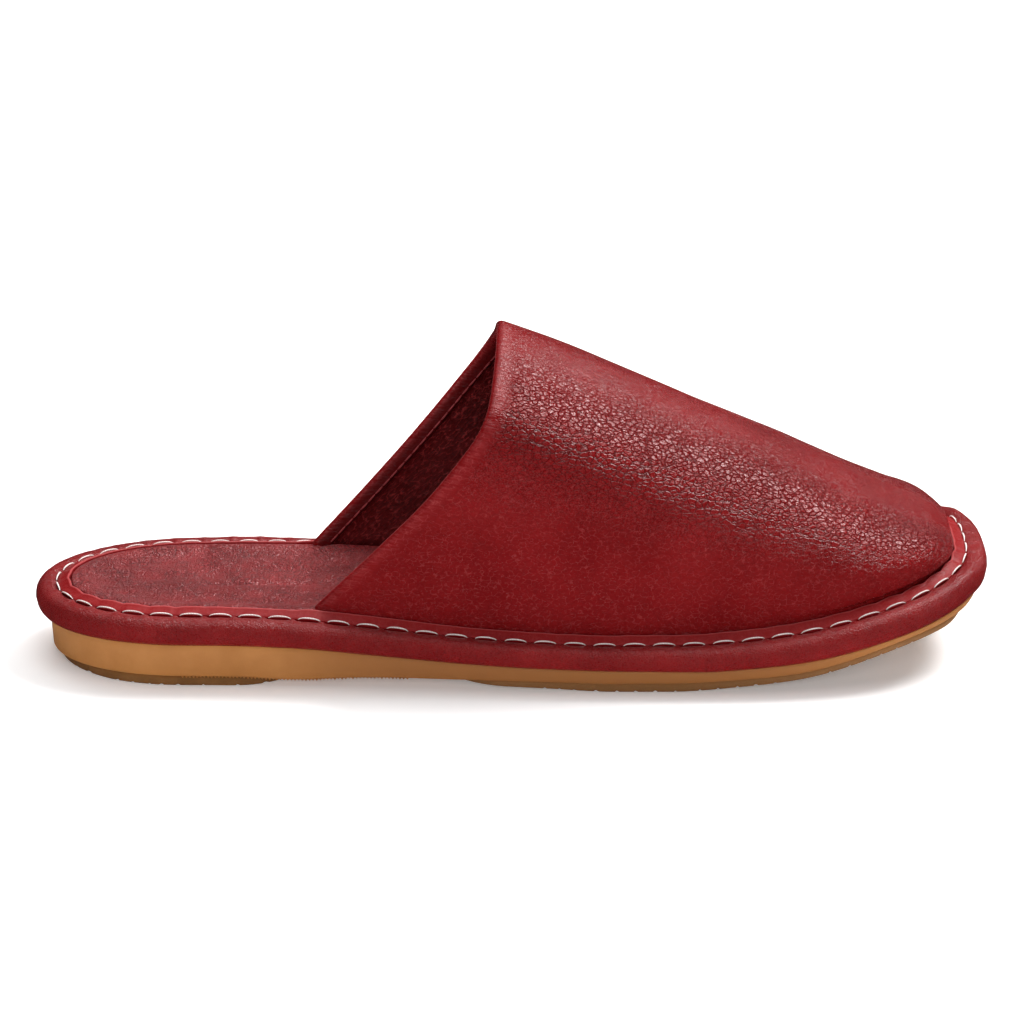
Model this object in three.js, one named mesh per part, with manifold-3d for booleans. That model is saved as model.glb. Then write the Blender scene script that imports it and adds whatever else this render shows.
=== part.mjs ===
// A closed-toe, open-backed leather house slipper for the right foot, in millimetres.
//
// The toe points to +X, the foot's inner side is +Y, and +Z is up. The slipper stands on its sole at
// z = 0, centred on the origin. Everything is built from one line, the seam: the closed line of white
// stitches that runs round the shoe between the padded rand and the narrow binding. A place round the
// shoe is a side and a station, which runs from 0 at the heel to 1 at the toe. A section through the
// seam is drawn in (out, up): out is the distance from the seam away from the foot, up is the height
// above it.

import * as THREE from 'three';
import Module from 'manifold-3d';
import { mergeVertices } from 'three/addons/utils/BufferGeometryUtils.js';

const wasm = await Module();
wasm.setup();

// Driving sizes
const shoeLength = 280;
const randOverhang = 6.2; // how far the padded rand stands out past the seam
const gap = 0.3; // clearance between pieces that are sewn or glued together
const seamLength = shoeLength - 2 * randOverhang;

const heelCap = { length: 39, roundness: 2.05 }; // how far the heel's curve reaches, and how square it is
const toeCap = { length: 60, roundness: 3.0 };

// Half width of the seam line, and how far its middle swings towards the inner side
const planTable = [
  { station: 0.0, half: 30.6, swing: -3.4 },
  { station: 0.14, half: 31.0, swing: -3.4 },
  { station: 0.26, half: 32.6, swing: -3.4 },
  { station: 0.4, half: 35.8, swing: -3.2 },
  { station: 0.52, half: 38.9, swing: -2.6 },
  { station: 0.64, half: 41.3, swing: -1.6 },
  { station: 0.76, half: 42.2, swing: -0.6 },
  { station: 0.88, half: 42.0, swing: 1.4 },
  { station: 1.0, half: 41.6, swing: 4.0 },
];

// The rubber sole: the height of its underside, its thickness with the tread, how far its wall stands
// out past the seam, and the size of the rand on top of it as a share of its full size
const soleTable = [
  { station: 0.0, bottom: 0.0, thickness: 13.3, wallOut: 2.1, randSize: 0.97 },
  { station: 0.24, bottom: 0.0, thickness: 13.0, wallOut: 1.8, randSize: 0.97 },
  { station: 0.34, bottom: 1.8, thickness: 9.5, wallOut: 1.5, randSize: 0.94 },
  { station: 0.44, bottom: 1.6, thickness: 7.7, wallOut: 1.5, randSize: 0.86 },
  { station: 0.53, bottom: 0.9, thickness: 7.1, wallOut: 1.5, randSize: 0.84 },
  { station: 0.6, bottom: 0.0, thickness: 7.4, wallOut: 1.5, randSize: 0.84 },
  { station: 0.67, bottom: 0.0, thickness: 7.3, wallOut: 1.5, randSize: 0.87 },
  { station: 0.72, bottom: 0.8, thickness: 6.6, wallOut: 1.6, randSize: 0.92 },
  { station: 0.82, bottom: 3.9, thickness: 5.8, wallOut: 2.0, randSize: 1.01 },
  { station: 0.92, bottom: 11.2, thickness: 4.3, wallOut: 2.8, randSize: 1.04 },
  { station: 1.0, bottom: 16.0, thickness: 5.0, wallOut: 3.5, randSize: 1.1 },
];

// Height of the upper's ridge above the floor
const ridgeTable = [
  { station: 0.25, height: 110 },
  { station: 0.4, height: 105 },
  { station: 0.49, height: 98.6 },
  { station: 0.6, height: 85.9 },
  { station: 0.7, height: 73.0 },
  { station: 0.8, height: 60.3 },
  { station: 0.9, height: 46.9 },
  { station: 1.0, height: 36 },
];
const toeBoxRounding = { length: 17, roundness: 2.2 };

// Section of the upper: across is a share of the half width, up a share of the ridge height
const archTable = [
  { place: 0.0, instepAcross: 1.0, instepUp: 0.0, toeAcross: 1.0, toeUp: 0.0 },
  { place: 0.16, instepAcross: 1.035, instepUp: 0.24, toeAcross: 1.03, toeUp: 0.22 },
  { place: 0.32, instepAcross: 1.085, instepUp: 0.48, toeAcross: 1.035, toeUp: 0.46 },
  { place: 0.46, instepAcross: 1.115, instepUp: 0.68, toeAcross: 0.965, toeUp: 0.67 },
  { place: 0.58, instepAcross: 1.035, instepUp: 0.8, toeAcross: 0.82, toeUp: 0.82 },
  { place: 0.71, instepAcross: 0.82, instepUp: 0.875, toeAcross: 0.61, toeUp: 0.92 },
  { place: 0.86, instepAcross: 0.43, instepUp: 0.961, toeAcross: 0.31, toeUp: 0.98 },
  { place: 1.0, instepAcross: 0.0, instepUp: 1.0, toeAcross: 0.0, toeUp: 1.0 },
  { place: 1.14, instepAcross: -0.43, instepUp: 0.961, toeAcross: -0.31, toeUp: 0.98 },
];
const archBlend = { start: 0.5, end: 0.8 }; // stations over which the instep's arch turns into the toe's

// Side view of the topline: how far forward of the heel its edge lies at each height, on either side
const toplineTable = [
  { height: 10, outer: 70.5, inner: 69 },
  { height: 24, outer: 83.6, inner: 82 },
  { height: 42, outer: 101.2, inner: 98.8 },
  { height: 57, outer: 114.9, inner: 112.3 },
  { height: 75, outer: 128.0, inner: 127.3 },
  { height: 84, outer: 132.3, inner: 133.2 },
  { height: 91, outer: 134.3, inner: 135.5 },
  { height: 98, outer: 135.8, inner: 136.2 },
  { height: 110, outer: 139, inner: 139 },
];

// Padded rand: an oval in section, flattened against the insole
const rand = { centreOut: 2.5, centreUp: -4.8, halfWidth: 3.7, halfHeight: 4.3, roundness: 2.2 };

// Binding: the folded strip between the stitches and the upper or insole
const binding = { width: 3.6, rise: 1.2, depth: 3.0 };

const upperWall = 2.0;
const hem = { width: 4.6, fold: 0.9, step: 0.5 }; // the topline's edge is turned in and sewn down
const insole = { dish: 1.6, rim: 1.0, rimWidth: 11 };
const tread = { depth: 2.2, setIn: 0.7 };
const heelPad = { start: 0.03, end: 0.235, setIn: 1.6 };
const forefootPad = { start: 0.41, end: 0.998 };
const wallDraft = 0.6; // how far the sole's wall draws in towards its foot

const leatherRed = '#8c1420';
const insoleRed = '#8a1f28';
const rubberTan = '#a8713a';

const resolution = { around: 52, randSection: 12, upperLength: 25, upperHalf: 12 };

// A smooth curve through one column of a table
function readTable(table, key, column, at) {
  const last = table.length - 1;
  let i = 0;
  while (i < last - 1 && at > table[i + 1][key]) i += 1;
  const slope = (j) => {
    const a = table[Math.max(j - 1, 0)];
    const b = table[Math.min(j + 1, last)];
    return (b[column] - a[column]) / (b[key] - a[key]);
  };
  const from = table[i];
  const to = table[i + 1];
  const span = to[key] - from[key];
  const t = Math.min(Math.max((at - from[key]) / span, 0), 1);
  const t2 = t * t;
  const t3 = t2 * t;
  return from[column] * (2 * t3 - 3 * t2 + 1)
    + slope(i) * span * (t3 - 2 * t2 + t)
    + to[column] * (3 * t2 - 2 * t3)
    + slope(i + 1) * span * (t3 - t2);
}

const smoothstep = (a, b, x) => {
  const t = Math.min(Math.max((x - a) / (b - a), 0), 1);
  return t * t * (3 - 2 * t);
};

// 0 at the end of a rounded cap and 1 where it has run into the straight
function roundedEnd(distance, { length, roundness }) {
  const t = Math.min(Math.max(distance / length, 0), 1);
  return (1 - (1 - t) ** roundness) ** (1 / roundness);
}

// Stations crowd towards both ends, so that the caps stay round
const stationShare = (station) => (1 - Math.cos(Math.PI * station)) / 2;
const stationAt = (share) => Math.acos(1 - 2 * share) / Math.PI;
const leastStep = 0.004; // no two stations lie nearer than this
const seamX = (station) => -seamLength / 2 + seamLength * stationShare(station);
const shareAt = (x) => (x + seamLength / 2) / seamLength;

// A point of the seam in plan. side is -1 on the outer side and 1 on the inner side.
function seamPlan(side, station) {
  const share = stationShare(station);
  const along = seamLength * share;
  const half = readTable(planTable, 'station', 'half', share);
  const caps = roundedEnd(along, heelCap) * roundedEnd(seamLength - along, toeCap);
  return new THREE.Vector2(seamX(station), readTable(planTable, 'station', 'swing', share) + side * half * caps);
}

// The seam moved out by a distance, in plan
function offsetPlan(side, station, out) {
  const step = 0.002;
  const at = (s) => (s < 0 ? seamPlan(-side, -s) : s > 1 ? seamPlan(-side, 2 - s) : seamPlan(side, s));
  const tangent = at(station + step).sub(at(station - step)).normalize();
  const outward = new THREE.Vector2(-side * tangent.y, side * tangent.x);
  return seamPlan(side, station).addScaledVector(outward, out);
}

const soleAt = (x, column) => readTable(soleTable, 'station', column, shareAt(x));
const soleBottom = (x) => Math.max(soleAt(x, 'bottom'), 0);
const soleTop = (x) => soleBottom(x) + soleAt(x, 'thickness');

// Height of a point that lies a little above or below the seam
const aboveSeam = (x, up) => {
  const size = soleAt(x, 'randSize');
  return soleTop(x) + gap + (rand.halfHeight - rand.centreUp + up) * size;
};

// Indexed triangles of a closed shape, as a geometry
class Shell {
  constructor() {
    this.positions = [];
    this.triangles = [];
  }

  point(x, y, z) {
    this.positions.push(x, y, z);
    return this.positions.length / 3 - 1;
  }

  quad(a, b, c, d) {
    this.triangles.push(a, b, c, a, c, d);
  }

  // Quads between two rows of points
  band(lower, upper, closed = false) {
    const count = lower.length;
    for (let i = 0; i < (closed ? count : count - 1); i += 1) {
      const next = (i + 1) % count;
      this.quad(lower[i], lower[next], upper[next], upper[i]);
    }
  }

  geometry() {
    const made = new THREE.BufferGeometry();
    made.setAttribute('position', new THREE.Float32BufferAttribute(this.positions, 3));
    made.setIndex(this.triangles);
    return mergeVertices(made, 1e-4);
  }
}

function toSolid(geometry) {
  return new wasm.Manifold(new wasm.Mesh({
    numProp: 3,
    vertProperties: new Float32Array(geometry.attributes.position.array),
    triVerts: new Uint32Array(withoutSlivers(geometry)),
  }));
}

// Triangles whose three corners are different points
function withoutSlivers(geometry) {
  const index = geometry.index.array;
  const kept = [];
  for (let i = 0; i < index.length; i += 3) {
    const [a, b, c] = index.slice(i, i + 3);
    if (a !== b && b !== c && c !== a) kept.push(a, b, c);
  }
  return kept;
}

function fromSolid(solid) {
  const { numProp, vertProperties, triVerts } = solid.getMesh();
  const geometry = new THREE.BufferGeometry();
  const positions = [];
  for (let i = 0; i < vertProperties.length; i += numProp) positions.push(...vertProperties.slice(i, i + 3));
  geometry.setAttribute('position', new THREE.Float32BufferAttribute(positions, 3));
  geometry.setIndex(Array.from(triVerts));
  return geometry;
}

// Places round the whole shoe: up the outer side from heel to toe, and back down the inner side
function roundTheShoe(steps) {
  const places = [];
  for (let i = 0; i < steps; i += 1) places.push({ side: -1, station: i / steps });
  for (let i = 0; i < steps; i += 1) places.push({ side: 1, station: 1 - i / steps });
  return places;
}

// A closed ring whose section, a loop of [out, up] points, follows the seam
function ringAlongSeam(section) {
  const shell = new Shell();
  const rows = roundTheShoe(resolution.around).map(({ side, station }) => section.map(([out, up]) => {
    const { x, y } = offsetPlan(side, station, out);
    return shell.point(x, y, aboveSeam(x, up));
  }));
  rows.forEach((row, i) => shell.band(rows[(i + 1) % rows.length], row, true));
  return shell.geometry();
}

// A slab over the shoe's plan between two stations: out is how far its edge lies past the seam, and
// top and bottom are heights over (x, y, edge), where edge is the distance in from the slab's rim
function slab({ outTop, outBottom, start = 0, end = 1, top, bottom, rimSteps = [] }) {
  const shell = new Shell();
  const first = stationAt(start);
  const last = stationAt(end);
  const stations = [first];
  for (let i = 1; i < resolution.around; i += 1) {
    const station = i / resolution.around;
    if (station > first + leastStep && station < last - leastStep) stations.push(station);
  }
  stations.push(last);
  const across = [0, ...rimSteps];
  const layer = (out, height) => stations.map((station) => {
    const outerRim = offsetPlan(-1, station, out(station));
    const innerRim = offsetPlan(1, station, out(station));
    const width = outerRim.distanceTo(innerRim);
    const edges = across.map((d) => Math.min(d, width / 2));
    const middle = [0.25, 0.5, 0.75].map((share) => {
      const inner = edges.at(-1);
      return inner + (width - 2 * inner) * share;
    });
    const places = [...edges, ...middle, ...edges.toReversed().map((d) => width - d)];
    return places.map((d) => {
      const { x, y } = outerRim.clone().lerp(innerRim, width > 0 ? d / width : 0);
      return shell.point(x, y, height(x, y, Math.min(d, width - d)));
    });
  });
  const upper = layer(outTop, top);
  const lower = layer(outBottom, bottom);
  for (let i = 0; i + 1 < stations.length; i += 1) {
    shell.band(upper[i + 1], upper[i]);
    shell.band(lower[i], lower[i + 1]);
  }
  const rim = (rows) => [
    ...rows.map((row) => row[0]),
    ...rows.at(-1).slice(1, -1),
    ...rows.map((row) => row.at(-1)).toReversed(),
    ...rows[0].slice(1, -1).toReversed(),
  ];
  shell.band(rim(lower), rim(upper), true);
  return shell.geometry();
}

// Outsole: a wall in one piece with a heel pad and a forefoot tread, which stand on the floor
function makeOutsole() {
  const wallOut = (inwards) => (station) => soleAt(seamX(station), 'wallOut') - inwards;
  const wall = toSolid(slab({
    outTop: wallOut(0),
    outBottom: wallOut(wallDraft),
    top: soleTop,
    bottom: (x) => soleBottom(x) + tread.depth,
  }));
  const pad = ({ start, end, setIn = tread.setIn }) => toSolid(slab({
    outTop: wallOut(wallDraft + setIn),
    outBottom: wallOut(wallDraft + setIn),
    start,
    end,
    top: (x) => soleBottom(x) + tread.depth + 0.5,
    bottom: soleBottom,
  }));
  return fromSolid(wall.add(pad(heelPad)).add(pad(forefootPad)));
}

// A point on the rand's oval, grown by a margin
function randOval(angle, margin = 0) {
  const bend = (v) => Math.sign(v) * Math.abs(v) ** (2 / rand.roundness);
  return [
    rand.centreOut + (rand.halfWidth + margin) * bend(Math.cos(angle)),
    rand.centreUp + (rand.halfHeight + margin) * bend(Math.sin(angle)),
  ];
}

function makeRand() {
  const section = [];
  for (let i = 0; i < resolution.randSection; i += 1) {
    section.push(randOval((2 * Math.PI * i) / resolution.randSection));
  }
  return ringAlongSeam(section);
}

const bindingInside = -gap - binding.width;
const ledge = -binding.depth; // height on which the binding and the upper's edge stand

function makeBinding() {
  const hug = [2.32, 2.62, 2.95].map((angle) => randOval(angle, gap));
  return ringAlongSeam([
    hug[0],
    [bindingInside + binding.width * 0.45, binding.rise * 0.8],
    [bindingInside + 0.5, binding.rise],
    [bindingInside, binding.rise - 0.5],
    [bindingInside, ledge + gap],
    [hug[2][0], ledge + gap],
    hug[1],
  ]);
}

// Foot of the upper's outside, in plan
const upperOut = bindingInside - gap;

// Outside of the upper. place runs from 0 at the seam on the outer side, over the ridge at 1, to 2.
function upperSkin(station, place) {
  const outerFoot = offsetPlan(-1, station, upperOut);
  const innerFoot = offsetPlan(1, station, upperOut);
  const foot = outerFoot.clone().lerp(innerFoot, 0.5);
  const share = stationShare(station);
  const climb = place <= 1 ? place : 2 - place;
  const toToe = smoothstep(archBlend.start, archBlend.end, share);
  const shape = (part) => THREE.MathUtils.lerp(
    readTable(archTable, 'place', `instep${part}`, climb),
    readTable(archTable, 'place', `toe${part}`, climb),
    toToe,
  );
  const sideways = (place <= 1 ? -1 : 1) * shape('Across');
  const plan = foot.addScaledVector(innerFoot.sub(outerFoot), sideways / 2);
  const base = aboveSeam(plan.x, binding.rise);
  const tip = seamLength * (1 - share);
  const rise = (readTable(ridgeTable, 'station', 'height', share) - base) * roundedEnd(tip, toeBoxRounding);
  return new THREE.Vector3(plan.x, plan.y, base + rise * shape('Up'));
}

function upperNormal(station, place) {
  const step = 0.004;
  const low = Math.max(place - step, 0);
  const high = Math.min(place + step, 2);
  const back = Math.min(station, 1 - 2 * step);
  const across = upperSkin(back, high).sub(upperSkin(back, low));
  const along = upperSkin(back + step, place).sub(upperSkin(back - step, place));
  return along.cross(across).normalize();
}

// Where the topline cuts the line of the upper at one place, as a station, moved forward by a margin
function toplineStation(place, margin = 0) {
  let low = 0.2;
  let high = 0.6;
  for (let i = 0; i < 40; i += 1) {
    const middle = (low + high) / 2;
    const { x, z } = upperSkin(middle, place);
    const edge = readTable(toplineTable, 'height', place <= 1 ? 'outer' : 'inner', z) - shoeLength / 2;
    if (x < edge + margin) low = middle;
    else high = middle;
  }
  return (low + high) / 2;
}

// The vamp: one hollow wall, open behind and underneath, with a thicker hem along its topline.
// grow makes the wall fatter on both faces, to cut room for it.
function makeUpper(grow = 0) {
  const shell = new Shell();
  const places = [];
  for (let i = 0; i <= 2 * resolution.upperHalf; i += 1) places.push(i / resolution.upperHalf);
  const columns = places.map((place) => {
    const start = toplineStation(place, -grow);
    const hemEnd = toplineStation(place, hem.width / 0.8);
    const stepEnd = toplineStation(place, hem.width / 0.8 + hem.step);
    const stations = [start, (start + hemEnd) / 2, hemEnd, stepEnd];
    for (let i = 1; i <= resolution.upperLength; i += 1) {
      stations.push(stepEnd + ((1 - stepEnd) * i) / resolution.upperLength);
    }
    return stations.map((station, i) => {
      const outside = upperSkin(station, place);
      const normal = station < 1 ? upperNormal(station, place) : new THREE.Vector3(1, 0, 0);
      const wall = upperWall + (i < 3 ? hem.fold : 0);
      return {
        outside: outside.clone().addScaledVector(normal, grow),
        inside: outside.clone().addScaledVector(normal, -wall - grow),
      };
    });
  });
  // Both faces run straight down from the seam to the ledge under the binding
  const skirt = (column) => column.map(({ outside, inside }) => {
    const floor = (point) => point.clone().setZ(aboveSeam(point.x, ledge) + gap - grow);
    return { outside: floor(outside), inside: floor(inside) };
  });
  const rows = [skirt(columns[0]), ...columns, skirt(columns.at(-1))];
  const place = (face) => rows.map((row) => row.map((p) => shell.point(...p[face].toArray())));
  const outside = place('outside');
  const inside = place('inside');
  for (let i = 0; i + 1 < rows.length; i += 1) {
    shell.band(outside[i], outside[i + 1]);
    shell.band(inside[i + 1], inside[i]);
  }
  const edges = (face) => [
    ...face[0],
    ...face.at(-1).toReversed(),
    ...face.slice(1, -1).map((row) => row[0]).toReversed(),
  ];
  shell.band(edges(inside), edges(outside), true);
  return shell.geometry();
}

// Insole: a soft pad that fills the rand's ring, with a ledge for the binding and the upper's edge
function makeInsole() {
  const randSide = rand.centreOut - rand.halfWidth - gap;
  const block = toSolid(slab({
    outTop: () => randSide,
    outBottom: () => randSide,
    top: (x) => aboveSeam(x, ledge),
    bottom: (x) => soleTop(x) + gap,
  }));
  const cushion = toSolid(slab({
    outTop: () => bindingInside - gap,
    outBottom: () => bindingInside - gap,
    rimSteps: [2.5, insole.rimWidth],
    top: (x, y, edge) => aboveSeam(x, insole.rim * smoothstep(0, 2.5, edge))
      - insole.dish * smoothstep(0, insole.rimWidth, edge),
    bottom: (x) => aboveSeam(x, ledge) - 1,
  }));
  const room = toSolid(makeUpper(gap));
  return fromSolid(block.add(cushion).subtract(room));
}

function piece(name, geometry, color, roughness) {
  const mesh = new THREE.Mesh(geometry, new THREE.MeshStandardMaterial({ color, roughness, metalness: 0 }));
  mesh.name = name;
  return mesh;
}

const slipper = new THREE.Group();
slipper.add(
  piece('outsole', makeOutsole(), rubberTan, 0.6),
  piece('rand', makeRand(), leatherRed, 0.45),
  piece('binding', makeBinding(), leatherRed, 0.5),
  piece('insole', makeInsole(), insoleRed, 0.5),
  piece('upper', makeUpper(), leatherRed, 0.42),
);

export default slipper;
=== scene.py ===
# A backless leather house slipper for the right foot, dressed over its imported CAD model.
# Shapes are worked out in millimetres, as the leather parts are cut, and made in metres.
import math

import bmesh
import bpy
import numpy as np
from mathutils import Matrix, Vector


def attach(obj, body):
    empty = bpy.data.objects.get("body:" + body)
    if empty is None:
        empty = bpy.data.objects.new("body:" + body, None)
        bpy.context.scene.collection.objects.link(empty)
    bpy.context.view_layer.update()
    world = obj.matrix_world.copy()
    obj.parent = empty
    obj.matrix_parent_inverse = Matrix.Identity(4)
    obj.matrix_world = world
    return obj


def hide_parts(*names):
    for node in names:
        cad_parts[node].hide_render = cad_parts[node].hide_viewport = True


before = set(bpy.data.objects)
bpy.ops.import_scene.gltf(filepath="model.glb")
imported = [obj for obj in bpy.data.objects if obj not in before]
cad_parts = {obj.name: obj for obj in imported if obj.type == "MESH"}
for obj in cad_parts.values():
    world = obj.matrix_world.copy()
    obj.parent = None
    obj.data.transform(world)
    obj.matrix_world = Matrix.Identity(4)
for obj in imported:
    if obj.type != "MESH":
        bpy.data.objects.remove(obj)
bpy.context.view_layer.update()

mm = 0.001

# The last: the same rules that the CAD solids follow
last = {
    "length": 280.0, "randOverhang": 6.2, "gap": 0.3,
    "heelCap": (39.0, 2.05), "toeCap": (60.0, 3.0), "toeBox": (17.0, 2.2),
    # share of the length, half width, swing towards the inner side
    "plan": [(0, 30.6, -3.4), (.14, 31.0, -3.4), (.26, 32.6, -3.4), (.4, 35.8, -3.2), (.52, 38.9, -2.6),
             (.64, 41.3, -1.6), (.76, 42.2, -.6), (.88, 42.0, 1.4), (1, 41.6, 4.0)],
    # share of the length, underside, thickness, how far the wall stands out, size of the roll
    "sole": [(0, 0, 13.3, 2.1, .97), (.24, 0, 13.0, 1.8, .97), (.34, 1.8, 9.5, 1.5, .94),
             (.44, 1.6, 7.7, 1.5, .86), (.53, .9, 7.1, 1.5, .84), (.6, 0, 7.4, 1.5, .84),
             (.67, 0, 7.3, 1.5, .87), (.72, .8, 6.6, 1.6, .92), (.82, 3.9, 5.8, 2.0, 1.01),
             (.92, 11.2, 4.3, 2.8, 1.04), (1, 16.0, 5.0, 3.5, 1.1)],
    "ridge": [(.25, 110), (.4, 105), (.49, 98.6), (.6, 85.9), (.7, 73.0), (.8, 60.3), (.9, 46.9), (1, 36)],
    # place over the arch, then across and up at the instep, and across and up at the toes
    "arch": [(0, 1, 0, 1, 0), (.16, 1.035, .24, 1.03, .22), (.32, 1.085, .48, 1.035, .46),
             (.46, 1.115, .68, .965, .67), (.58, 1.035, .8, .82, .82), (.71, .82, .875, .61, .92),
             (.86, .43, .961, .31, .98), (1, 0, 1, 0, 1), (1.14, -.43, .961, -.31, .98)],
    "archBlend": (.5, .8),
    # height, then how far forward of the heel the edge lies on the outer and on the inner side
    "topline": [(10, 70.5, 69), (24, 83.6, 82), (42, 101.2, 98.8), (57, 114.9, 112.3), (75, 128, 127.3),
                (84, 132.3, 133.2), (91, 134.3, 135.5), (98, 135.8, 136.2), (110, 139, 139)],
    "upperOut": -4.2, "upperWall": 2.0, "bindingRise": 1.2, "ledge": -3.0,
    "rollHeight": 9.1,  # from the sole to the seam, at full size
}


def smoothCurve(rows, column):
    keys = np.array([row[0] for row in rows], float)
    values = np.array([row[column] for row in rows], float)
    ahead = np.minimum(np.arange(len(keys)) + 1, len(keys) - 1)
    behind = np.maximum(np.arange(len(keys)) - 1, 0)
    slopes = (values[ahead] - values[behind]) / (keys[ahead] - keys[behind])

    def read(at):
        i = np.clip(np.searchsorted(keys, at, side="left") - 1, 0, len(keys) - 2)
        span = keys[i + 1] - keys[i]
        t = np.clip((at - keys[i]) / span, 0, 1)
        return (values[i] * (2 * t**3 - 3 * t**2 + 1) + slopes[i] * span * (t**3 - 2 * t**2 + t)
                + values[i + 1] * (3 * t**2 - 2 * t**3) + slopes[i + 1] * span * (t**3 - t**2))

    return read


def smoothstep(low, high, value):
    t = np.clip((value - low) / (high - low), 0, 1)
    return t * t * (3 - 2 * t)


def roundedEnd(distance, length, roundness):
    t = np.clip(distance / length, 0, 1)
    return (1 - (1 - t) ** roundness) ** (1 / roundness)


seamLength = last["length"] - 2 * last["randOverhang"]
halfWidth, swing = smoothCurve(last["plan"], 1), smoothCurve(last["plan"], 2)
soleLow, soleThick, wallOut, rollSize = (smoothCurve(last["sole"], c) for c in (1, 2, 3, 4))
ridgeHeight = smoothCurve(last["ridge"], 1)
instepAcross, instepUp, toeAcross, toeUp = (smoothCurve(last["arch"], c) for c in (1, 2, 3, 4))
toplineOuter, toplineInner = (smoothCurve(last["topline"], c) for c in (1, 2))


def shareAt(x):
    return (x + seamLength / 2) / seamLength


def soleBottom(x):
    return np.maximum(soleLow(shareAt(x)), 0)


def soleTop(x):
    return soleBottom(x) + soleThick(shareAt(x))


def aboveSeam(x, up):
    return soleTop(x) + last["gap"] + (last["rollHeight"] + up) * rollSize(shareAt(x))


def shareOf(station):  # stations lie closer together towards the heel and the toe
    return (1 - np.cos(np.pi * station)) / 2


def seamPlan(side, station):
    share = shareOf(station)
    along = seamLength * share
    caps = roundedEnd(along, *last["heelCap"]) * roundedEnd(seamLength - along, *last["toeCap"])
    return np.stack([along - seamLength / 2, swing(share) + side * halfWidth(share) * caps], -1)


def offsetPlan(side, station, out):
    side, station, out = np.broadcast_arrays(np.asarray(side, float), station, out)

    def at(s):
        past = (s < 0) | (s > 1)
        return seamPlan(np.where(past, -side, side), np.where(s < 0, -s, np.where(s > 1, 2 - s, s)))

    tangent = at(station + .002) - at(station - .002)
    tangent /= np.linalg.norm(tangent, axis=-1, keepdims=True)
    outward = np.stack([-side * tangent[..., 1], side * tangent[..., 0]], -1)
    return seamPlan(side, station) + outward * out[..., None]


def runAlong(line):  # the length so far at each point of a line
    return np.append(0, np.cumsum(np.linalg.norm(np.diff(line, axis=0), axis=1)))


def roundTrip():  # the seam as one closed line, with its length so far
    turn = np.linspace(-1, 1, 30001)
    turn = 1 + np.sign(turn) * np.abs(turn) ** 1.5
    line = seamPlan(np.where(turn < 1, -1.0, 1.0), np.where(turn < 1, turn, 2 - turn))
    return turn, line, runAlong(line)


seamTurn, seamLine, seamRun = roundTrip()
perimeter = seamRun[-1]


def seamAt(run):  # places and outward directions at lengths along the seam, heel, outer side, toe
    place = lambda r: np.stack([np.interp(r % perimeter, seamRun, seamLine[:, c]) for c in (0, 1)], -1)
    tangent = place(run + .8) - place(run - .8)
    tangent /= np.linalg.norm(tangent, axis=-1, keepdims=True)
    return place(run), np.stack([tangent[:, 1], -tangent[:, 0]], -1)


def softNoise(points, size, seed):  # smooth seeded noise, -1 to 1, with lumps about size mm wide
    table = np.random.default_rng(seed).uniform(-1, 1, 4096)
    scaled = points / np.asarray(size, float) + 1000.0
    cell = np.floor(scaled).astype(np.int64)
    part = scaled - cell
    part = part * part * (3 - 2 * part)
    total = np.zeros(len(points))
    for corner in np.ndindex(*(2,) * points.shape[1]):
        at = cell + np.array(corner)
        mixed = at[:, 0] * 7919
        for axis in range(1, points.shape[1]):
            mixed = mixed ^ (at[:, axis] * (104729, 1299709)[axis - 1])
        weight = np.prod(np.where(np.array(corner) == 1, part, 1 - part), axis=1)
        total += weight * table[(mixed ^ (mixed >> 7)) & 4095]
    return total


# Making meshes
def gridFaces(rows, columns, closeRows=False, closeColumns=False):
    r = np.arange(rows if closeRows else rows - 1)[:, None]
    c = np.arange(columns if closeColumns else columns - 1)[None, :]
    here, ahead, nextColumn = r * columns, (r + 1) % rows * columns, (c + 1) % columns
    return np.stack((here + c, here + nextColumn, ahead + nextColumn, ahead + c), -1).reshape(-1, 4).tolist()


def addObject(name, data):
    made = bpy.data.objects.new(name, data)
    bpy.context.scene.collection.objects.link(made)
    return made


def makePiece(name, points, faces, material, body="root", node=None, data=None):
    mesh = bpy.data.meshes.new(name)
    mesh.from_pydata((np.asarray(points) * mm).tolist(), [], faces)
    for key, values in (data or {}).items():
        mesh.attributes.new(key, "FLOAT", "POINT").data.foreach_set("value", np.asarray(values, np.float32))
    shape = bmesh.new()
    shape.from_mesh(mesh)
    bmesh.ops.recalc_face_normals(shape, faces=shape.faces)
    if shape.calc_volume(signed=True) < 0:
        bmesh.ops.reverse_faces(shape, faces=shape.faces)
    shape.to_mesh(mesh)
    shape.free()
    mesh.polygons.foreach_set("use_smooth", [True] * len(mesh.polygons))
    mesh.materials.append(material)
    return settle(addObject(name, mesh), body, node)


def settle(piece, body="root", node=None):
    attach(piece, body)
    if node:
        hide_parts(node)
    return piece


def ringPoints(run, section):  # section is (places along the seam, points, (out, up))
    place, outward = seamAt(run)
    plan = place[:, None, :] + outward[:, None, :] * section[..., :1]
    return np.concatenate([plan, aboveSeam(plan[..., 0], section[..., 1])[..., None]], -1)


print("shape rules ready, seam is", round(perimeter, 1), "mm round")


# Materials
def linear(hexColour):
    parts = [int(hexColour[i:i + 2], 16) / 255 for i in (1, 3, 5)]
    return (*[c / 12.92 if c <= .04045 else ((c + .055) / 1.055) ** 2.4 for c in parts], 1.0)


def addNode(tree, kind, inputs=None, **settings):
    node = tree.nodes.new(kind)
    for key, value in settings.items():
        setattr(node, key, value)
    for key, value in (inputs or {}).items():
        if isinstance(value, bpy.types.NodeSocket):
            tree.links.new(value, node.inputs[key])
        else:
            node.inputs[key].default_value = value
    return node


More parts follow.
